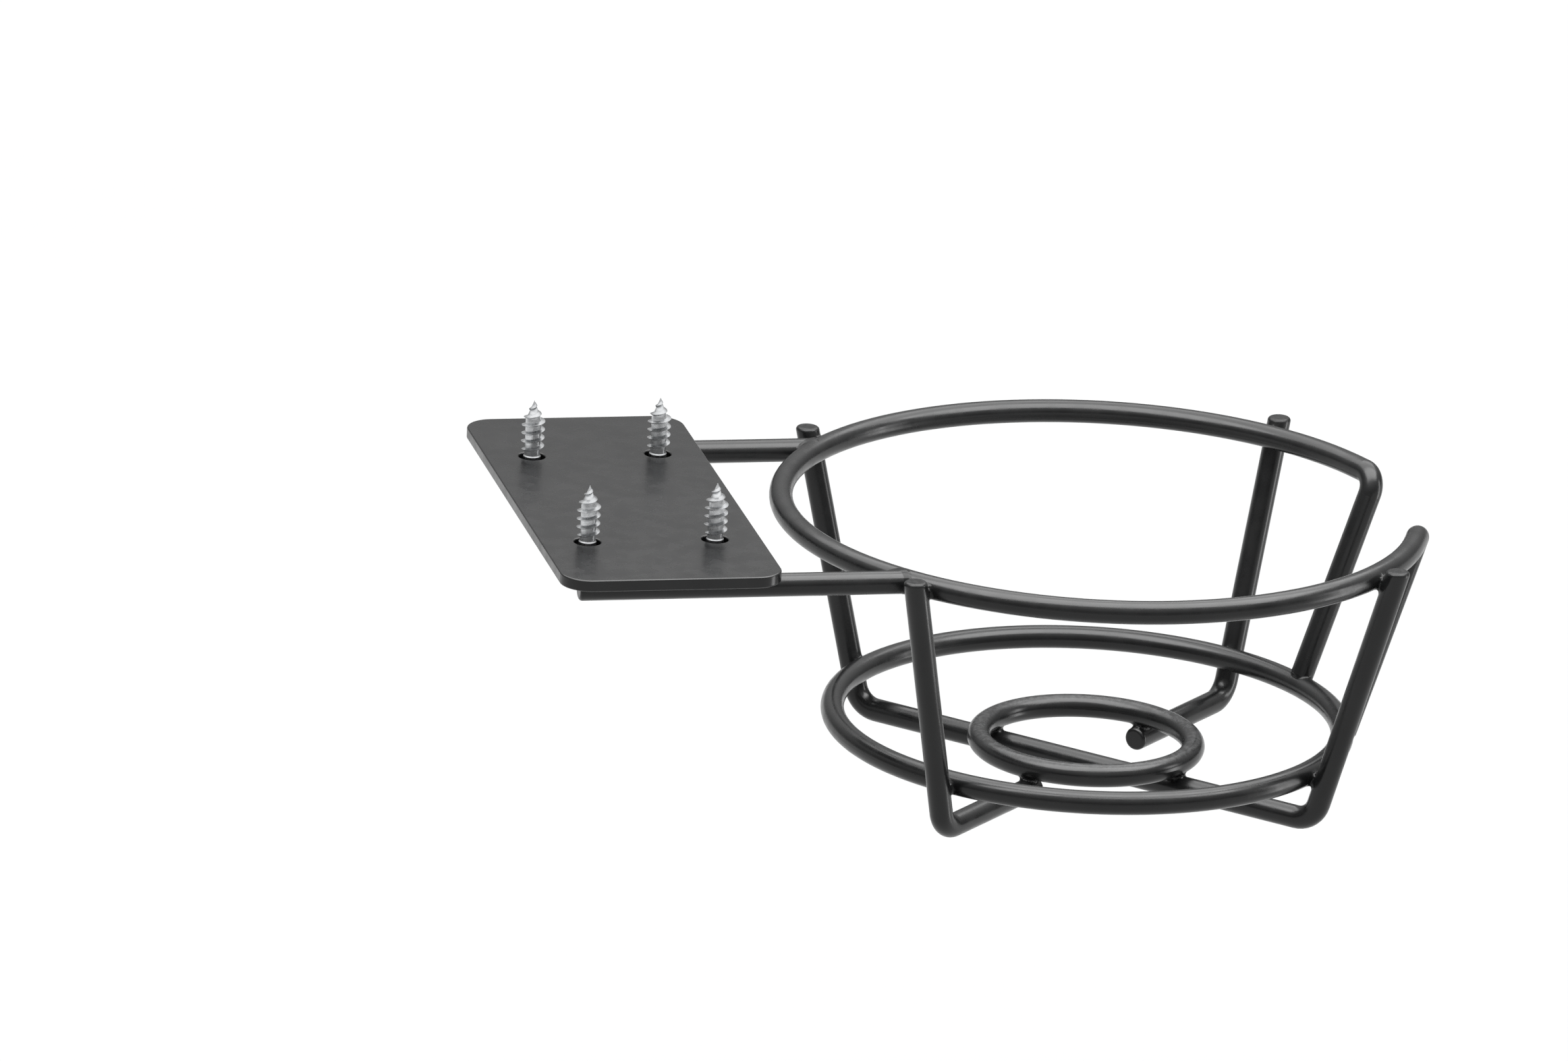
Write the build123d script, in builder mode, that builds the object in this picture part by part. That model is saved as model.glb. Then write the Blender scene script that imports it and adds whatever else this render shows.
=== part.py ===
from build123d import *
from math import asin, atan, cos, degrees, hypot, radians, sin, sqrt
import os

# Wire cup holder that hangs from the underside of a desk top.
# Millimetres, +Z up. The origin is the centre of the mounting plate's top face, which
# lies against the desk. +X points away from the desk, towards the gap for a mug's handle.

# Wire
wire_d = 4.0            # round wire of every ring, leg and arm
foot_bend_r = 4.5       # centreline radius of the bend at the foot of each upright
rim_bend_r = 3.0        # and of the tighter bend at each end of the rim
end_round = 0.6         # rounding of a cut end
weld_gap = 0.1          # space between two wires at a weld, filled by the bead

# Basket
rim_r = 54.5            # centreline radius of the open top ring
base_r = 43.75          # centreline radius of the ring round the foot of the cup
base_drop = 37.7        # from the rim's centreline plane down to the base ring's
foot_space = 3.9        # clear height between the base ring and the wires below it
centre_r = 18.4         # centreline radius of the small ring that the cup stands on
leg_overrun = 2.1       # how far a short leg runs past the centre ring's centreline
upright_rise = 2.2      # how far an upright's cut end stands above the rim's centreline
handle_gap = 30.2       # between the centrelines of the rim's two turned-down ends

# Mounting
arm_clearance = 1.9     # clear space between an arm and the upright beside it
plate_gap = 8.0         # clear space between the rim and the plate
plate_l = 38.0          # along X
plate_t = 2.0
plate_edge = 6.0        # from an arm's outer side to the plate's edge
plate_corner_r = 5.0
plate_edge_round = 0.3
arm_setback = 4.0       # from an arm's inner end to the plate's rear edge

# Screws
screw_d = 4.0           # over the thread
screw_neck_d = 3.0      # plain neck under the head
screw_neck_rise = 0.3   # from the plate's top face to the first turn of thread
screw_l = 12.0          # under the head
screw_tip_l = 3.5
hole_clearance = 0.25   # between a screw's shank and its hole, all round
screw_pitch_x = 22.0
screw_pitch_y = 46.0
head_d = 7.8
head_h = 2.7
head_crown_r = 1.6      # rounding of the head's outer edge
recess_w = 4.2          # across the cross recess
recess_slot = 1.0       # width of one slot of it
recess_depth = 1.5

# Weld beads
weld_r = 2.25           # round bead where wires cross or a wire's end stands on another
collar_t = 0.4          # bead round an arm's end: how far it stands out from the arm
collar_w = 0.9          # and how far it reaches from the rim along the arm
run_r = 2.7             # bead that runs along each side of an arm, under the plate
run_margin = 5.0        # from its ends to the arm's inner end and the plate's front edge

wire_r = wire_d / 2
contact = wire_d + weld_gap     # from centreline to centreline where two wires touch
rim_x = plate_l / 2 + plate_gap + wire_r + rim_r
rim_z = -(plate_t + weld_gap + wire_r)
foot_z = -(base_drop + contact + foot_space)    # below the rim's plane
centre_z = foot_z + contact

# The uprights lean in by as much as the base ring is smaller than the rim.
lean = (rim_r - base_r) / base_drop
contact_out = contact * sqrt(1 + lean ** 2)     # the same contact, measured level
upright_angle = 45.0


def basket(height=0.0):
    """Level plane through the basket, at a height above the rim's centreline."""
    return Plane(origin=(rim_x, 0, rim_z + height))


def radial(angle):
    """Upright plane through the basket's axis: x runs outwards at the angle, y up."""
    out = (cos(radians(angle)), sin(radians(angle)), 0)
    return Plane(origin=(rim_x, 0, rim_z), x_dir=out, z_dir=(out[1], -out[0], 0))


def upright_x(height):
    """Distance of an upright's centreline from the basket's axis."""
    return rim_r + contact_out + lean * height


basket_axis = Axis((rim_x, 0, 0), (0, 0, 1))
arm_y = upright_x(0) * sin(radians(upright_angle)) - contact - (arm_clearance - weld_gap)
arm_start = rim_x - sqrt(rim_r ** 2 - arm_y ** 2)
arm_end = -plate_l / 2 + arm_setback
plate_w = 2 * (arm_y + wire_r + plate_edge)

os.makedirs("parts", exist_ok=True)


def save(name, builder):
    builder.part.label = name
    export_step(builder.part, f"parts/{name}.step")


def swept_wire(plane, points, rounded_ends):
    """One bent wire in a plane, cut level at the uprights' tops, with its ends rounded."""
    with BuildPart() as bent:
        with BuildLine(plane) as path:
            FilletPolyline(*points, radius=foot_bend_r)
        with BuildSketch(Plane(origin=path.line @ 0, z_dir=path.line % 0)):
            Circle(wire_r)
        sweep()
        split(bisect_by=basket(upright_rise), keep=Keep.BOTTOM)
        ends = bent.faces().filter_by(GeomType.PLANE)
        fillet([edge for face in ends for edge in face.edges()], rounded_ends)
    return bent


# Open top ring: a round arc whose two ends turn down, side by side, onto the base ring.
corner_run = 1.6 * rim_bend_r   # straight run from the arc's end to the bend's corner
corner_r = hypot(rim_r, corner_run)
corner_angle = degrees(asin(handle_gap / 2 / corner_r))
arc_end = corner_angle + degrees(atan(corner_run / rim_r))
corner_x = corner_r * cos(radians(corner_angle))
seat_x = sqrt(base_r ** 2 - (handle_gap / 2) ** 2)      # on the base ring's centreline
end_part = 1 - (wire_r + weld_gap) / hypot(corner_x - seat_x, base_drop)
end_x = corner_x - (corner_x - seat_x) * end_part       # the end stops on its surface
end_drop = base_drop * end_part

with BuildPart() as rim_wire:
    with BuildLine(basket()) as rim_path:
        CenterArc((0, 0), rim_r, arc_end, 360 - 2 * arc_end)
        for side in (1, -1):
            start = radians(side * arc_end)
            FilletPolyline(
                (rim_r * cos(start), rim_r * sin(start), 0),
                (corner_x, side * handle_gap / 2, 0),
                (end_x, side * handle_gap / 2, -end_drop),
                radius=rim_bend_r,
            )
    rim_line = rim_path.wires()[0]
    with BuildSketch(Plane(origin=rim_line @ 0, z_dir=rim_line % 0)):
        Circle(wire_r)
    sweep(path=rim_line)
    # The ends are dressed to the base ring's round top.
    with BuildSketch(radial(0)):
        with Locations((base_r, -base_drop)):
            Circle(wire_r + weld_gap)
    revolve(axis=basket_axis, mode=Mode.SUBTRACT)
save("rim_wire", rim_wire)


def closed_ring(ring_r, height):
    with BuildPart() as ring:
        with BuildSketch(radial(0)):
            with Locations((ring_r, height)):
                Circle(wire_r)
        revolve(axis=basket_axis)
    return ring


base_ring = closed_ring(base_r, -base_drop)
save("base_ring", base_ring)
centre_ring = closed_ring(centre_r, centre_z)
save("centre_ring", centre_ring)

# Long wire: down the back left, straight across under the centre ring, up the front right.
upright_end = upright_rise + wire_d     # long enough for the level cut
upright_top = (upright_x(upright_end), upright_end)
upright_foot = (upright_x(foot_z), foot_z)
far_foot = (-upright_foot[0], foot_z)
far_top = (-upright_top[0], upright_end)
cross_points = (upright_top, upright_foot, far_foot, far_top)
cross_wire = swept_wire(radial(180 - upright_angle), cross_points, end_round)
save("cross_wire", cross_wire)

# Short legs: down an upright and in under the centre ring.
leg_points = (upright_top, upright_foot, (centre_r - leg_overrun, foot_z))
front_left_leg = swept_wire(radial(upright_angle - 180), leg_points, end_round)
save("front_left_leg", front_left_leg)
back_right_leg = swept_wire(radial(upright_angle), leg_points, end_round)
save("back_right_leg", back_right_leg)


def arm(y):
    """Straight wire from the rim to the plate, its end shaped to the rim's round side."""
    with BuildPart() as straight:
        with BuildSketch(Plane.YZ.offset(arm_end)):
            with Locations((y, rim_z)):
                Circle(wire_r)
        extrude(amount=arm_start - arm_end)
        fillet(straight.faces().sort_by(Axis.X)[0].edges(), end_round)
        with BuildSketch(radial(0)):
            with Locations((rim_r, 0)):
                Circle(wire_r + weld_gap)
        revolve(axis=basket_axis, mode=Mode.SUBTRACT)
    return straight


front_arm = arm(-arm_y)
save("front_arm", front_arm)
back_arm = arm(arm_y)
save("back_arm", back_arm)

with BuildPart() as mounting_plate:
    with BuildSketch(Plane.XY.offset(-plate_t)):
        RectangleRounded(plate_l, plate_w, plate_corner_r)
        with GridLocations(screw_pitch_x, screw_pitch_y, 2, 2):
            Circle(screw_d / 2 + hole_clearance, mode=Mode.SUBTRACT)
    extrude(amount=plate_t)
    fillet(mounting_plate.faces().filter_by(Axis.Z).edges(), plate_edge_round)
save("mounting_plate", mounting_plate)

# Pan-head screws, driven upwards through the plate into the desk.
neck_l = plate_t + screw_neck_rise
with BuildPart() as screw:
    with BuildSketch(Plane.XZ):
        with BuildLine():
            Polyline(
                (0, -head_h), (head_d / 2, -head_h), (head_d / 2, 0), (screw_neck_d / 2, 0),
                (screw_neck_d / 2, neck_l), (screw_d / 2, neck_l),
                (screw_d / 2, screw_l - screw_tip_l), (0, screw_l), close=True,
            )
        make_face()
    revolve(axis=Axis.Z)
    fillet(screw.faces().sort_by(Axis.Z)[0].edges(), head_crown_r)
    with BuildSketch(Plane.XY.offset(-head_h)):
        Rectangle(recess_w, recess_slot)
        Rectangle(recess_slot, recess_w)
    extrude(amount=recess_depth, mode=Mode.SUBTRACT)

with BuildPart() as mounting_screws:
    with Locations((0, 0, -plate_t)):
        with GridLocations(screw_pitch_x, screw_pitch_y, 2, 2):
            add(screw.part)
save("mounting_screws", mounting_screws)


def beads(points, bead_r, wires):
    """Round weld beads at the points, shaped to the wires that they join."""
    with BuildPart() as group:
        with Locations(*points):
            Sphere(bead_r)
        for wire in wires:
            add(wire.part, mode=Mode.SUBTRACT)
    return group


def at(angle, x, height):
    """Point at a distance from the basket's axis, at an angle and a height."""
    return radial(angle).from_local_coords((x, height, 0))


upright_angles = [side * upright_angle + half for half in (0, 180) for side in (1, -1)]
upright_wires = (cross_wire, front_left_leg, back_right_leg)
half_contact = contact_out / 2

rim_welds = beads(
    [at(a, rim_r + half_contact, 0) for a in upright_angles],
    weld_r, (rim_wire, *upright_wires))
save("rim_welds", rim_welds)

base_ring_welds = beads(
    [at(a, base_r + half_contact, -base_drop) for a in upright_angles],
    weld_r, (base_ring, *upright_wires))
save("base_ring_welds", base_ring_welds)

centre_ring_welds = beads(
    [at(a, centre_r, centre_z - contact / 2) for a in upright_angles],
    weld_r, (centre_ring, *upright_wires))
save("centre_ring_welds", centre_ring_welds)

rim_end_welds = beads(
    [basket(-end_drop).from_local_coords((end_x, side * handle_gap / 2, 0)) for side in (1, -1)],
    weld_r, (rim_wire, base_ring))
save("rim_end_welds", rim_end_welds)

# A thin collar round each arm's end, where it meets the rim's round side.
with BuildPart() as arm_welds:
    with BuildSketch(Plane.YZ.offset(arm_start)):
        with Locations((-arm_y, rim_z), (arm_y, rim_z)):
            Circle(wire_r + collar_t)
    extrude(amount=arm_end - arm_start)
    with BuildSketch(radial(0)):
        with Locations((rim_r, 0)):
            Circle(wire_r + weld_gap + collar_w)
    revolve(axis=basket_axis, mode=Mode.INTERSECT)
    for wire in (rim_wire, front_arm, back_arm):
        add(wire.part, mode=Mode.SUBTRACT)
save("arm_welds", arm_welds)

# One run along both sides of each arm, in the corner between the wire and the plate.
run_start = arm_end + run_margin
run_end = plate_l / 2 - run_margin
with BuildPart() as plate_welds:
    for y in (-arm_y, arm_y):
        with BuildSketch(Plane.YZ.offset(run_start)):
            with Locations((y, -plate_t)):
                Circle(run_r)
        extrude(amount=run_end - run_start)
        with Locations((run_start, y, -plate_t), (run_end, y, -plate_t)):
            Sphere(run_r)
    split(bisect_by=Plane.XY.offset(-plate_t), keep=Keep.BOTTOM)
    for wire in (front_arm, back_arm):
        add(wire.part, mode=Mode.SUBTRACT)
save("plate_welds", plate_welds)
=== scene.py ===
import math
import bmesh
import bpy
from mathutils import Matrix, Vector, noise


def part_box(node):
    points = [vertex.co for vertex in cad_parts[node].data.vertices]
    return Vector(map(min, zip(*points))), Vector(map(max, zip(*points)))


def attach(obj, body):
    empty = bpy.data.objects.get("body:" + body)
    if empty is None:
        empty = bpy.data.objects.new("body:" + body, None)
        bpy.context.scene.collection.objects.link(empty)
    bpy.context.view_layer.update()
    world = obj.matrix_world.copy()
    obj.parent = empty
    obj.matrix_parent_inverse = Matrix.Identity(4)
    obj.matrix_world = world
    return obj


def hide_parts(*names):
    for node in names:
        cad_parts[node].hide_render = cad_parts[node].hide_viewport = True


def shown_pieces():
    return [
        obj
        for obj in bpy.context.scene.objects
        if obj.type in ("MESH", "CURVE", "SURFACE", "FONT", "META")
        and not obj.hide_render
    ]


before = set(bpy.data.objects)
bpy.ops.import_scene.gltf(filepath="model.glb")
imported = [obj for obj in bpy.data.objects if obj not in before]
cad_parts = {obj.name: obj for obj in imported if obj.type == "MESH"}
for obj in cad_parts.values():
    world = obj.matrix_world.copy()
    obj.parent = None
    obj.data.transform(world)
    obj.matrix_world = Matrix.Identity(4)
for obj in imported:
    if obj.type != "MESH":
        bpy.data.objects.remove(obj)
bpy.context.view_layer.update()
print("frame loaded:", len(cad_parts), "nodes")

mm = 0.001
scene = bpy.context.scene

# Where the wires run, read from the frame (metres)
baseLow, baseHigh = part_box("base_ring")
rimLow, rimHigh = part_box("rim_wire")
centreLow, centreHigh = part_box("centre_ring")
crossLow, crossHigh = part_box("cross_wire")
armLow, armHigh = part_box("back_arm")
plateLow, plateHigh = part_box("mounting_plate")
wireR = (baseHigh.z - baseLow.z) / 2
axisX = (baseLow.x + baseHigh.x) / 2
baseR = (baseHigh.x - baseLow.x) / 2 - wireR
baseZ = baseHigh.z - wireR
rimR = (rimHigh.y - rimLow.y) / 2 - wireR
rimZ = rimHigh.z - wireR
centreR = (centreHigh.x - centreLow.x) / 2 - wireR
centreZ = centreHigh.z - wireR
footZ = crossLow.z + wireR
armY = (armLow.y + armHigh.y) / 2
armEnd = armLow.x
plateBottom = plateLow.z
rimCentre = Vector((axisX, 0, rimZ))


# Materials

def addNode(tree, kind, values=None, **settings):
    # one node; settings are its properties, values its unlinked inputs
    node = tree.nodes.new("ShaderNode" + kind)
    for key, value in settings.items():
        setattr(node, key, value)
    for key, value in (values or {}).items():
        node.inputs[key].default_value = value
    return node


def newMaterial(name):
    material = bpy.data.materials.new(name)
    material.use_nodes = True
    tree = material.node_tree
    shader = tree.nodes["Principled BSDF"]
    place = addNode(tree, "TexCoord").outputs["Object"]
    return material, tree, shader, place


def noiseAt(tree, place, size, detail=2.0, roughness=0.5):
    # noise whose features are about `size` metres across
    node = addNode(tree, "TexNoise", {"Scale": 1 / size, "Detail": detail, "Roughness": roughness})
    tree.links.new(place, node.inputs["Vector"])
    return node.outputs["Fac"]


def remap(tree, source, low, high, toLow, toHigh):
    # a smooth step from toLow to toHigh, while the source goes from low to high
    limits = {"From Min": low, "From Max": high, "To Min": toLow, "To Max": toHigh}
    node = addNode(tree, "MapRange", limits, interpolation_type="SMOOTHSTEP")
    tree.links.new(source, node.inputs["Value"])
    return node.outputs["Result"]


def axesOf(tree, place):
    # the place's X, Y and Z, each by itself
    split = addNode(tree, "SeparateXYZ")
    tree.links.new(place, split.inputs[0])
    return split.outputs


def multiply(tree, first, second):
    node = addNode(tree, "Math", operation="MULTIPLY")
    tree.links.new(first, node.inputs[0])
    tree.links.new(second, node.inputs[1])
    return node.outputs[0]


def blendColour(tree, share, first, second):
    node = addNode(tree, "Mix", data_type="RGBA")
    tree.links.new(share, node.inputs["Factor"])
    for socket, colour in ((node.inputs["A"], first), (node.inputs["B"], second)):
        if isinstance(colour, tuple):
            socket.default_value = colour + (1,)
        else:
            tree.links.new(colour, socket)
    return node.outputs["Result"]


def blendValue(tree, share, first, second):
    node = addNode(tree, "Mix", data_type="FLOAT")
    tree.links.new(share, node.inputs["Factor"])
    for socket, value in ((node.inputs["A"], first), (node.inputs["B"], second)):
        if isinstance(value, float):
            socket.default_value = value
        else:
            tree.links.new(value, socket)
    return node.outputs["Result"]


def addBump(tree, shader, layers):
    # layers: (height source, depth in metres), the coarse one first
    normal = None
    for source, depth in layers:
        bump = addNode(tree, "Bump", {"Strength": 1.0, "Distance": depth})
        tree.links.new(source, bump.inputs["Height"])
        if normal:
            tree.links.new(normal, bump.inputs["Normal"])
        normal = bump.outputs["Normal"]
    tree.links.new(normal, shader.inputs["Normal"])


coat = {
    "dark": (0.0028, 0.0029, 0.0030),
    "light": (0.0056, 0.0057, 0.0058),
    "wornAndLit": (0.055, 0.056, 0.057),      # where the coat is thin or rubbed; on the uprights' cut tops it is also a painted highlight
    "specular": 0.31,
    "roughLow": 0.21,
    "roughHigh": 0.31,
    "roughWorn": 0.38,
    "mottleSize": 9 * mm,       # slow changes of tone
    "sheenSize": 3.5 * mm,      # slow changes of roughness
    "wearSize": 0.8 * mm,       # the specks that wear breaks up into
    "peelSize": 1.3 * mm,       # orange peel of the baked powder
    "peelDepth": 0.008 * mm,
    "grainSize": 0.25 * mm,
    "grainDepth": 0.0006 * mm,
}


def powderCoat(name, peel=1.0, gloss=1.0, wearAndHighlightMask=None, wearAndHighlightAmount=0.5, wornGloss=1.0):
    # satin black powder coat; the mask function, called with (tree, place), says where it is rubbed or thin,
    # and on the uprights' cut tops where a painted highlight lightens it
    material, tree, shader, place = newMaterial(name)
    mottle = noiseAt(tree, place, coat["mottleSize"], 3.0)
    grain = noiseAt(tree, place, coat["grainSize"], 1.0)
    peelNoise = noiseAt(tree, place, coat["peelSize"], 2.0, 0.45)
    mottled = remap(tree, mottle, 0.3, 0.7, 0.25, 1.0)
    grainy = remap(tree, grain, 0.2, 0.8, 0.7, 1.0)
    colour = blendColour(tree, multiply(tree, mottled, grainy), coat["dark"], coat["light"])
    sheen = noiseAt(tree, place, coat["sheenSize"], 3.0)
    rough = remap(tree, sheen, 0.3, 0.7, coat["roughLow"], coat["roughHigh"])
    shine = coat["specular"] * gloss
    shader.inputs["Specular IOR Level"].default_value = shine
    if wearAndHighlightMask:
        mask = wearAndHighlightMask(tree, place)
        specks = noiseAt(tree, place, coat["wearSize"], 4.0, 0.65)
        wornAndLit = multiply(tree, mask, remap(tree, specks, 0.42, 0.62, 0.0, wearAndHighlightAmount))
        # a lighter colour where the mask reaches: rubbed coat, and on the uprights' tops a painted highlight
        colour = blendColour(tree, wornAndLit, colour, coat["wornAndLit"])
        rough = blendValue(tree, wornAndLit, rough, coat["roughWorn"])
        wornShine = blendValue(tree, mask, shine, shine * wornGloss)
        tree.links.new(wornShine, shader.inputs["Specular IOR Level"])
    tree.links.new(colour, shader.inputs["Base Color"])
    tree.links.new(rough, shader.inputs["Roughness"])
    addBump(tree, shader, ((peelNoise, coat["peelDepth"] * peel), (grain, coat["grainDepth"])))
    return material


def rubbedAndHighlitTops(tree, place):
    # the cut tops of the uprights: lighter rubbed specks that also serve as a painted highlight
    top = crossHigh.z
    return remap(tree, axesOf(tree, place)["Z"], top - 0.7 * mm, top - 0.2 * mm, 0.0, 1.0)


def cupSeat(tree, place):
    # the centre ring's top, where a cup is set down
    height = axesOf(tree, place)["Z"]
    top = centreZ + wireR
    reached = remap(tree, height, top - 0.7 * mm, top - 0.1 * mm, 0.0, 1.0)
    notAbove = remap(tree, height, top + 0.2 * mm, top + 0.5 * mm, 1.0, 0.0)
    return multiply(tree, reached, notAbove)


def screwSeats(tree, place):
    # rings scuffed into the plate by the screw heads, alike in all four quarters
    axes = axesOf(tree, place)
    join = addNode(tree, "CombineXYZ")
    for axis in ("X", "Y"):
        plain = addNode(tree, "Math", operation="ABSOLUTE")
        tree.links.new(axes[axis], plain.inputs[0])
        tree.links.new(plain.outputs[0], join.inputs[axis])
    away = addNode(tree, "VectorMath", operation="DISTANCE")
    away.inputs[1].default_value = (screwPlaces[0][0], screwPlaces[0][1], 0)
    tree.links.new(join.outputs[0], away.inputs[0])
    outer = remap(tree, away.outputs["Value"], 4.0 * mm, 4.5 * mm, 1.0, 0.0)
    inner = remap(tree, away.outputs["Value"], 3.4 * mm, 3.8 * mm, 0.0, 1.0)
    under = remap(tree, axes["Z"], plateBottom + 0.2 * mm, plateBottom + 0.4 * mm, 1.0, 0.0)
    return multiply(tree, multiply(tree, outer, inner), under)


zinc = {
    "pale": (0.62, 0.63, 0.64),
    "dull": (0.52, 0.53, 0.54),
    "roughLow": 0.24,
    "roughHigh": 0.36,
    "blotchSize": 1.6 * mm,
    "sheenSize": 0.6 * mm,
    "lineSpacing": 0.16 * mm,       # turning marks on the heads
    "lineDepth": 0.003 * mm,
    "grainSize": 0.2 * mm,
    "grainDepth": 0.0008 * mm,
}


def zincPlating(name):
    material, tree, shader, place = newMaterial(name)
    own = addNode(tree, "Attribute", attribute_name="ownPlace").outputs["Vector"]
    blotch = remap(tree, noiseAt(tree, place, zinc["blotchSize"], 4.0, 0.6), 0.35, 0.65, 0.0, 1.0)
    tree.links.new(blendColour(tree, blotch, zinc["dull"], zinc["pale"]), shader.inputs["Base Color"])
    sheen = noiseAt(tree, place, zinc["sheenSize"], 3.0)
    rough = remap(tree, sheen, 0.3, 0.7, zinc["roughLow"], zinc["roughHigh"])
    tree.links.new(rough, shader.inputs["Roughness"])
    shader.inputs["Metallic"].default_value = 1.0
    waves = {"Scale": 0.31 / zinc["lineSpacing"], "Distortion": 0.6, "Detail": 1.0}     # one wave a spacing
    lines = addNode(tree, "TexWave", waves, wave_type="RINGS", rings_direction="Z")
    tree.links.new(own, lines.inputs["Vector"])
    grain = noiseAt(tree, place, zinc["grainSize"])
    addBump(tree, shader, ((lines.outputs["Fac"], zinc["lineDepth"]), (grain, zinc["grainDepth"])))
    return material


screwPitch = (22.0 * mm, 46.0 * mm)
screwPlaces = [(x * screwPitch[0] / 2, y * screwPitch[1] / 2) for x in (1, -1) for y in (1, -1)]

wireCoat = powderCoat("wireCoat")
ringCoat = powderCoat("ringCoat", wearAndHighlightMask=cupSeat, wearAndHighlightAmount=0.25)
# the uprights' cut tops are painted lighter: a painted highlight, broken up into rubbed specks
uprightCoat = powderCoat("uprightCoat", wearAndHighlightMask=rubbedAndHighlitTops, wearAndHighlightAmount=0.12, wornGloss=0.6)
plateCoat = powderCoat("plateCoat", peel=0.8, wearAndHighlightMask=screwSeats, wearAndHighlightAmount=0.6)
weldCoat = powderCoat("weldCoat", gloss=0.6)
zincCoat = zincPlating("zincCoat")

coatOf = {
    "rim_wire": wireCoat, "base_ring": ringCoat, "centre_ring": ringCoat,
    "cross_wire": uprightCoat, "front_left_leg": uprightCoat, "back_right_leg": uprightCoat,
    "front_arm": wireCoat, "back_arm": wireCoat, "mounting_plate": plateCoat,
}
for name, material in coatOf.items():
    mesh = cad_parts[name].data
    mesh.materials.clear()
    mesh.materials.append(material)
print("coated:", len(coatOf), "wires and plate")


# New pieces

def finishPiece(bm, name, material, replaced, creaseAngle=180):
    bmesh.ops.remove_doubles(bm, verts=bm.verts, dist=0.0001 * mm)
    bmesh.ops.recalc_face_normals(bm, faces=bm.faces)
    for face in bm.faces:
        face.smooth = True
    for edge in bm.edges:
        edge.smooth = edge.calc_face_angle(0) < math.radians(creaseAngle)
    mesh = bpy.data.meshes.new(name)
    bm.to_mesh(mesh)
    bm.free()
    mesh.materials.append(material)
    piece = bpy.data.objects.new(name, mesh)
    scene.collection.objects.link(piece)
    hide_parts(replaced)
    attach(piece, "root")
    return piece


# Weld fillets: each starts as a ball at the joint, drawn in to the smooth hollow
# between the wires that it joins. What lies inside the wires stays hidden.
weld = {
    "reach": 3.2 * mm,          # the ball that is drawn in
    "hollow": 1.4 * mm,         # how far the metal has run into the corner
    "buttHollow": 1.0 * mm,     # the same where an arm ends on the rim
    "standHollow": 0.7 * mm,    # and where the rim's end stands on the base ring
    "buried": 0.9 * mm,         # from the rim's middle to an arm's end
    "standing": 1.5 * mm,       # from the base ring's middle to the rim's end
    "uneven": 0.14,             # share by which a hollow varies round its joint
    "unevenSize": 1.1 * mm,
    "sunk": 0.04 * mm,          # under the wires' own surface, where the fillet ends
    "around": 96,
    "rows": 64,                 # from pole to pole, closest together at the equator
    "stride": 0.04 * mm,        # of the search for the surface
    "halvings": 9,              # of the last stride, to close in on it
    "gap": 0.1 * mm,            # between the wires at a weld
}


def ringWire(radius, height):
    # distance from a ring's surface
    def distance(p):
        out = math.hypot(p.x - axisX, p.y) - radius
        return math.hypot(out, p.z - height) - wireR
    return distance


def straightWire(start, end, rounding=0.6 * mm, levelTop=False):
    # distance from a straight wire with rounded ends, the upper one square or cut level
    along = (end - start).normalized()
    length = (end - start).length

    def distance(p):
        offset = p - start
        run = offset.dot(along)
        side = (offset - along * run).length - wireR + rounding
        over = max(-run, p.z - end.z if levelTop else run - length) + rounding
        return min(max(side, over), 0) + math.hypot(max(side, 0), max(over, 0)) - rounding
    return distance


def meltedTogether(first, second, hollow):
    # the two surfaces with a rounded hollow in the corner between them
    def distance(p):
        a, b = first(p), second(p)
        mixed = max(hollow - abs(a - b), 0) / hollow
        return min(a, b) - mixed * mixed * hollow / 4 + weld["sunk"]
    return distance


def drawIn(start, outer, surface):
    # the point where the way from start to outer first leaves the surface
    way = (outer - start).normalized()
    low, high = 0.0, (outer - start).length
    reached = low
    while reached < high:
        depth = -surface(start + way * reached)
        if depth < 0:
            high = reached
            break
        low = reached
        reached += max(depth / 2, weld["stride"])
    else:
        return outer
    for i in range(weld["halvings"]):
        middle = (low + high) / 2
        if surface(start + way * middle) < 0:
            low = middle
        else:
            high = middle
    return start + way * low


def addFillet(bm, centre, normal, first, second, hollow=weld["hollow"]):
    # normal: square to the wires where they touch
    ball = bmesh.ops.create_uvsphere(bm, u_segments=weld["around"], v_segments=weld["rows"], radius=1.0)
    turned = normal.to_track_quat("Z", "Y").to_matrix()
    for vert in ball["verts"]:
        rise = math.asin(max(-1, min(1, vert.co.z))) / (math.pi / 2)
        level = math.copysign(rise * rise, rise) * math.pi / 2
        turn = math.atan2(vert.co.y, vert.co.x)
        aside = math.cos(level)
        way = Vector((math.cos(turn) * aside, math.sin(turn) * aside, math.sin(level)))
        outer = centre + turned @ way * weld["reach"]
        uneven = 1 + weld["uneven"] * noise.noise(outer / weld["unevenSize"])
        vert.co = drawIn(centre, outer, meltedTogether(first, second, hollow * uneven))


lean = (rimR - baseR) / (rimZ - baseZ)
touch = 2 * wireR + weld["gap"]
touchOut = touch * math.sqrt(1 + lean ** 2)
uprightAngles = (45, 135, 225, 315)
shortLegAngles = (45, 225)
straightFrom = 5 * mm       # from the feet's centreline up to where an upright is straight
uprightRise = 2.2 * mm      # from the rim's centreline to the uprights' level tops


def uprightPoint(angle, z):
    # on an upright's centreline
    out = rimR + touchOut + lean * (z - rimZ)
    turn = math.radians(angle)
    return Vector((axisX + out * math.cos(turn), out * math.sin(turn), z))


def upright(angle):
    foot = uprightPoint(angle, footZ + straightFrom)
    return straightWire(foot, uprightPoint(angle, rimZ + uprightRise), levelTop=True)


def ringPoint(angle, radius, z):
    turn = math.radians(angle)
    return Vector((axisX + radius * math.cos(turn), radius * math.sin(turn), z))


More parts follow.
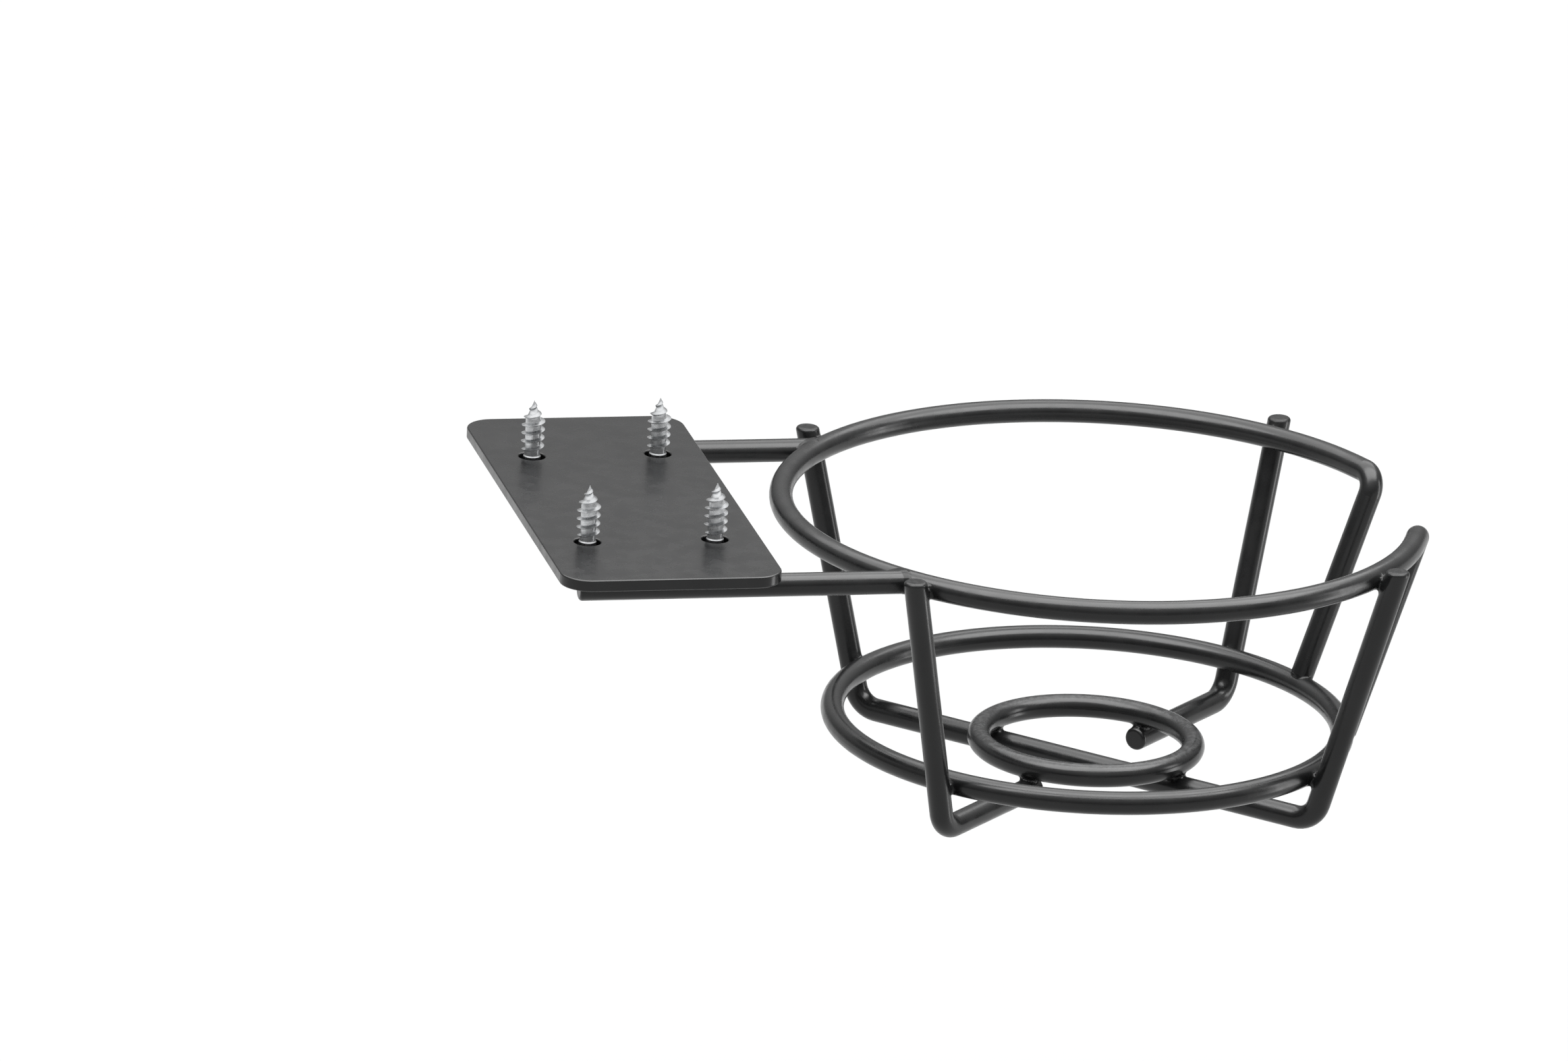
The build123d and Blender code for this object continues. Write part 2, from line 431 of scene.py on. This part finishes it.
def uprightFillets(name, radius, z, replaced):
    bm = bmesh.new()
    ring = ringWire(radius, z)
    for angle in uprightAngles:
        turn = math.radians(angle)
        outwards = Vector((math.cos(turn), math.sin(turn), -lean)).normalized()
        addFillet(bm, ringPoint(angle, radius + touchOut / 2, z), outwards, ring, upright(angle))
    return finishPiece(bm, name, weldCoat, replaced)


uprightFillets("rim_fillets", rimR, rimZ, "rim_welds")
uprightFillets("base_ring_fillets", baseR, baseZ, "base_ring_welds")

legOverrun = 2.1 * mm       # how far the short legs reach inwards past the centre ring's middle


def centreRingFillets():
    # under the centre ring: the long wire crosses it, the short legs stop just inside it
    bm = bmesh.new()
    ring = ringWire(centreR, centreZ)
    for angle in uprightAngles:
        inner = centreR - legOverrun if angle in shortLegAngles else 0
        foot = straightWire(ringPoint(angle, inner, footZ), ringPoint(angle, baseR, footZ))
        middle = ringPoint(angle, centreR, (centreZ + footZ) / 2)
        addFillet(bm, middle, Vector((0, 0, 1)), ring, foot)
    finishPiece(bm, "centre_ring_fillets", weldCoat, "centre_ring_welds")


centreRingFillets()
print("fillets: rim, base ring and centre ring")

rimEnd = {
    "beadRadius": 2.25 * mm,    # of the frame's own welds there
    "cornerRun": 4.8 * mm,      # straight run from the rim's arc to the corner of its bend
}


def rimEndFillets():
    # where the rim's turned-down ends stand on the base ring
    bm = bmesh.new()
    endLow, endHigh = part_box("rim_end_welds")
    endY = (endHigh.y - endLow.y) / 2 - rimEnd["beadRadius"]
    cornerX = axisX + math.sqrt(rimR ** 2 + rimEnd["cornerRun"] ** 2 - endY ** 2)
    seatX = axisX + math.sqrt(baseR ** 2 - endY ** 2)
    for side in (1, -1):
        seat = Vector((seatX, side * endY, baseZ))
        corner = Vector((cornerX, side * endY, rimZ))
        towards = (corner - seat).normalized()
        standing = straightWire(seat + towards * weld["standing"], corner)
        addFillet(bm, seat + towards * wireR, towards, ringWire(baseR, baseZ), standing, weld["standHollow"])
    finishPiece(bm, "rim_end_fillets", weldCoat, "rim_end_welds")


def armFillets():
    # where the arms butt against the rim's round side
    bm = bmesh.new()
    across = math.sqrt(rimR ** 2 - armY ** 2)
    for side in (1, -1):
        outwards = Vector((-across, side * armY, 0)).normalized()
        meet = Vector((axisX - across, side * armY, rimZ))
        tip = meet - Vector((weld["buried"], 0, 0))
        arm = straightWire(Vector((armEnd, side * armY, rimZ)), tip, rounding=0)
        touching = meet - Vector((wireR, 0, 0))
        addFillet(bm, touching, outwards, ringWire(rimR, rimZ), arm, weld["buttHollow"])
    finishPiece(bm, "arm_fillets", weldCoat, "arm_welds")


rimEndFillets()
armFillets()

# Runs along both sides of each arm, under the plate
run = {
    "margin": 5.0 * mm,         # from the arm's inner end and the plate's front edge
    "reach": 3.4 * mm,
    "hollow": 2.6 * mm,
    "ripple": 0.06,             # share by which the run swells and narrows
    "rippleLength": 1.8 * mm,
    "rippleSlant": 1.5 / mm,    # radians by which a ripple lags, a metre away from its middle height
    "intoPlate": 1.0 * mm,      # where the run ends inside the plate
    "sections": 150,
    "endSections": 8,           # of each round end
    "around": 40,
}


def plateUnder(p):
    return plateBottom - p.z


def addRun(bm, start, end, wire):
    # a round-ended bar along X, drawn in like the fillets
    length = end.x - start.x
    roundEnd = []
    for i in range(run["endSections"] + 1):
        turn = math.radians(i * 90 / run["endSections"])
        roundEnd.append((-run["reach"] * math.cos(turn), run["reach"] * math.sin(turn)))
    profile = roundEnd + [(length * i / run["sections"], run["reach"]) for i in range(1, run["sections"])]
    profile += [(length - x, r) for x, r in reversed(roundEnd)]
    verts = [bm.verts.new((start.x + x, start.y, start.z + r)) for x, r in profile]
    edges = [bm.edges.new(pair) for pair in zip(verts, verts[1:])]
    bmesh.ops.spin(bm, geom=verts + edges, cent=start, axis=(1, 0, 0), angle=math.tau,
                   steps=run["around"], use_merge=True)
    top = plateBottom + run["intoPlate"]
    # this bar's own points: the other arm's lie across the middle
    for vert in [v for v in bm.verts if v.co.y * start.y > 0]:
        p = vert.co
        centre = Vector((min(max(p.x, start.x), end.x), start.y, start.z))
        wave = math.tau * p.x / run["rippleLength"] + run["rippleSlant"] * abs(p.z - start.z)
        swell = 1 + run["ripple"] * math.sin(wave)
        melted = meltedTogether(wire, plateUnder, run["hollow"] * swell)
        vert.co = drawIn(centre, p.copy(), lambda q: max(melted(q), q.z - top))


def plateWeldRuns():
    bm = bmesh.new()
    z = (plateBottom + rimZ + wireR) / 2
    for side in (1, -1):
        y = side * armY
        arm = straightWire(Vector((armEnd, y, rimZ)), Vector((axisX, y, rimZ)))
        start = Vector((armEnd + run["margin"], y, z))
        addRun(bm, start, Vector((plateHigh.x - run["margin"], y, z)), arm)
    finishPiece(bm, "plate_weld_runs", weldCoat, "plate_welds")


plateWeldRuns()
print("fillets: rim ends, arms and plate runs")

# Pan-head screws with a rolled thread, in millimetres until they are placed
screw = {
    "headRadius": 3.9, "headHeight": 2.7, "crown": 1.6, "crownSteps": 8, "headEdge": 0.15,
    "neckRadius": 1.5, "neckTop": 2.3, "neckTaper": 0.2, "coreRadius": 1.35,
    "crest": 2.0, "root": 0.2, "pitch": 1.45, "ridge": 0.42, "crestFlat": 0.05, "stepsATurn": 40,
    "tipStart": 8.5, "length": 12.0, "around": 64,
    "recessWidth": 4.2, "recessSlot": 1.0, "recessDepth": 1.5, "recessTaper": 0.55,
    "turns": (14, 77, 41, 63),      # how far each screw was turned home, degrees
}


def screwBody():
    s = screw
    bm = bmesh.new()
    outline = [(0, -s["headHeight"])]
    for i in range(s["crownSteps"] + 1):
        turn = math.radians(i * 90 / s["crownSteps"])
        outline.append((s["headRadius"] - s["crown"] + s["crown"] * math.sin(turn),
                        -s["headHeight"] + s["crown"] - s["crown"] * math.cos(turn)))
    outline += [(s["headRadius"], -s["headEdge"]), (s["headRadius"] - s["headEdge"], 0),
                (s["neckRadius"], 0), (s["neckRadius"], s["neckTop"] - s["neckTaper"]),
                (s["coreRadius"], s["neckTop"]), (s["coreRadius"], s["tipStart"]), (0, s["length"])]
    verts = [bm.verts.new((x, 0, z)) for x, z in outline]
    edges = [bm.edges.new(pair) for pair in zip(verts, verts[1:])]
    bmesh.ops.spin(bm, geom=verts + edges, cent=(0, 0, 0), axis=(0, 0, 1), angle=math.tau,
                   steps=s["around"], use_merge=True)
    return bm


def screwThread():
    s = screw
    bm = bmesh.new()
    turns = (s["length"] - s["neckTop"] - 2 * s["ridge"]) / s["pitch"]
    inner = s["coreRadius"] - s["root"]     # the ridge starts inside the core
    z = s["neckTop"] + s["ridge"]
    corners = ((inner, z - s["ridge"]), (s["crest"], z - s["crestFlat"]),
               (s["crest"], z + s["crestFlat"]), (inner, z + s["ridge"]))
    verts = [bm.verts.new((x, 0, height)) for x, height in corners]
    edges = [bm.edges.new((verts[i], verts[(i + 1) % 4])) for i in range(4)]
    steps = int(turns * s["stepsATurn"])
    bmesh.ops.spin(bm, geom=verts + edges, cent=(0, 0, 0), axis=(0, 0, 1), angle=math.tau * turns,
                   dvec=(0, 0, s["pitch"] * turns / steps), steps=steps)
    bmesh.ops.holes_fill(bm, edges=[e for e in bm.edges if e.is_boundary], sides=4)
    for vert in bm.verts:
        x, y, height = vert.co
        radius = math.hypot(x, y)
        # the ridge rises out of the core over its first turn
        rise = min(1, (height - s["neckTop"]) / s["pitch"] + 0.15)
        radius = inner + (radius - inner) * rise
        # and thins out with the tip
        thin = min(1, (s["length"] - height) / (s["length"] - s["tipStart"]))
        radius *= max(thin, 0.06)
        turn = math.atan2(y, x)
        vert.co = (radius * math.cos(turn), radius * math.sin(turn), height)
    return bm


def recessWing(turned):
    # one slot of the cross, narrower at its bottom
    s = screw
    bm = bmesh.new()
    bmesh.ops.create_cube(bm, size=1.0)
    for vert in bm.verts:
        deep = vert.co.z > 0
        length = s["recessWidth"] * (s["recessTaper"] if deep else 1.0)
        width = s["recessSlot"] * (0.8 if deep else 1.0)
        vert.co = (math.copysign(length / 2, vert.co.x), math.copysign(width / 2, vert.co.y),
                   -s["headHeight"] + (s["recessDepth"] if deep else -0.5))
    if turned:
        bmesh.ops.rotate(bm, verts=bm.verts, cent=(0, 0, 0), matrix=Matrix.Rotation(math.pi / 2, 3, "Z"))
    return bm


def toObject(bm, name):
    bmesh.ops.remove_doubles(bm, verts=bm.verts, dist=0.001)
    bmesh.ops.recalc_face_normals(bm, faces=bm.faces)
    mesh = bpy.data.meshes.new(name)
    bm.to_mesh(mesh)
    bm.free()
    made = bpy.data.objects.new(name, mesh)
    scene.collection.objects.link(made)
    return made


def makeScrews():
    body = toObject(screwBody(), "screwBody")
    wings = [toObject(recessWing(turned), "wing") for turned in (False, True)]
    for wing in wings:
        cut = body.modifiers.new("recess", "BOOLEAN")
        cut.object = wing
        cut.solver = "EXACT"
    cutBody = bpy.data.meshes.new_from_object(body.evaluated_get(bpy.context.evaluated_depsgraph_get()))
    thread = toObject(screwThread(), "thread")
    single = bmesh.new()
    single.from_mesh(cutBody)
    single.from_mesh(thread.data)
    own = single.verts.layers.float_vector.new("ownPlace")
    for vert in single.verts:
        vert[own] = vert.co * mm
    for made in [body, thread] + wings:
        bpy.data.objects.remove(made)
    original = list(single.verts)
    pattern = list(single.verts) + list(single.edges) + list(single.faces)
    for turn, (x, y) in zip(screw["turns"], screwPlaces):
        copy = bmesh.ops.duplicate(single, geom=pattern)
        moved = [item for item in copy["geom"] if isinstance(item, bmesh.types.BMVert)]
        place = Matrix.Translation((x, y, plateBottom)) @ Matrix.Scale(mm, 4)
        place @= Matrix.Rotation(math.radians(turn), 4, "Z")
        bmesh.ops.transform(single, matrix=place, verts=moved)
    bmesh.ops.delete(single, geom=original, context="VERTS")
    finishPiece(single, "threaded_screws", zincCoat, "mounting_screws", creaseAngle=35)


makeScrews()
print("screws: four, threaded")


# Floor, lights and camera

studio = {
    "floorDrop": 0.72,          # metres under the plate, as a desk stands
    "floorSize": 300.0,
    "floorPale": (0.95, 0.95, 0.95),
    "floorShade": (0.91, 0.915, 0.915),
    "floorCloud": 0.9,          # metres across one of its slow changes of tone
    "zenith": 1.38,             # the room's own light, straight up
    "horizon": 0.25,            # and at the skyline
    "backdrop": 1.0,            # what stands behind everything, as the camera sees it
    "top": {"place": (0.08, -0.085, 0.33), "aim": (0.08, -0.085, 0), "size": (0.70, 0.31), "watts": 6.3},
    "behind": {"place": (0.08, 0.25, 0.33), "aim": (0.08, 0.25, 0), "size": (0.70, 0.36), "watts": 2.8},
    "right": {"place": (0.85, -0.15, -0.05), "aim": (0.08, 0, -0.03), "size": (0.18, 0.7), "watts": 2.6},
}


def softbox(name, look):
    light = bpy.data.lights.new(name, "AREA")
    light.shape = "RECTANGLE"
    light.size, light.size_y = look["size"]
    light.energy = look["watts"]
    lamp = bpy.data.objects.new(name, light)
    place, aim = Vector(look["place"]), Vector(look["aim"])
    turned = (aim - place).to_track_quat("-Z", "Y").to_matrix().to_4x4()
    lamp.matrix_world = Matrix.Translation(place) @ turned
    lamp.visible_camera = False
    lamp.light_linking.receiver_collection = coated
    scene.collection.objects.link(lamp)


def makeFloor():
    bm = bmesh.new()
    bmesh.ops.create_grid(bm, x_segments=8, y_segments=8, size=studio["floorSize"] / 2,
                          matrix=Matrix.Translation((0, 0, -studio["floorDrop"])))
    mesh = bpy.data.meshes.new("floor")
    bm.to_mesh(mesh)
    bm.free()
    material, tree, shader, place = newMaterial("paleFloor")
    cloudy = remap(tree, noiseAt(tree, place, studio["floorCloud"], 2.0), 0.3, 0.7, 0.0, 1.0)
    colour = blendColour(tree, cloudy, studio["floorShade"], studio["floorPale"])
    tree.links.new(colour, shader.inputs["Base Color"])
    shader.inputs["Roughness"].default_value = 0.9
    shader.inputs["Specular IOR Level"].default_value = 0.1
    mesh.materials.append(material)
    floor = bpy.data.objects.new("floor", mesh)
    scene.collection.objects.link(floor)


def makeSky():
    world = bpy.data.worlds.new("studio")
    scene.world = world
    world.use_nodes = True
    tree = world.node_tree
    height = axesOf(tree, addNode(tree, "TexCoord").outputs["Generated"])["Z"]
    glow = remap(tree, height, 0.0, 0.9, studio["horizon"], studio["zenith"])
    seen = addNode(tree, "LightPath").outputs["Is Camera Ray"]
    background = tree.nodes["Background"].inputs
    tree.links.new(blendValue(tree, seen, glow, studio["backdrop"]), background["Strength"])
    background["Color"].default_value = (1, 1, 1, 1)


# The softboxes light only the coated pieces, so that the floor and the screws don't burn out.
coated = bpy.data.collections.new("coated")
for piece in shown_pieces():
    if piece.name != "threaded_screws":
        coated.objects.link(piece)

makeFloor()
makeSky()
softbox("topSoftbox", studio["top"])
softbox("behindSoftbox", studio["behind"])
softbox("rightStrip", studio["right"])
scene.view_settings.view_transform = "Standard"
print("studio set")

# Camera: where it stands, seen from the middle of the rim
view = {
    "azimuth": -13.44,      # degrees, 0 looks along +Y
    "elevation": 18.27,
    "roll": 3.09,
    "distance": 3.253,      # metres
    "aimRight": -0.05388,   # the picture's middle, measured from the rim's middle
    "aimUp": -0.00348,
    "lens": 437.5,          # mm, on a sensor 36 mm wide
}


def placeCamera():
    azimuth, elevation = math.radians(view["azimuth"]), math.radians(view["elevation"])
    back = Vector((math.sin(azimuth) * math.cos(elevation),
                   -math.cos(azimuth) * math.cos(elevation), math.sin(elevation)))
    right = Vector((math.cos(azimuth), math.sin(azimuth), 0))
    right = Matrix.Rotation(math.radians(view["roll"]), 3, back) @ right
    up = back.cross(right)
    aim = rimCentre + right * view["aimRight"] + up * view["aimUp"]
    camera = bpy.data.objects.new("camera", bpy.data.cameras.new("camera"))
    camera.data.lens = view["lens"]
    camera.data.clip_end = 500
    place = Matrix((right, up, back)).transposed().to_4x4()
    place.translation = aim + back * view["distance"]
    camera.matrix_world = place
    scene.collection.objects.link(camera)
    scene.camera = camera


placeCamera()

print("done")
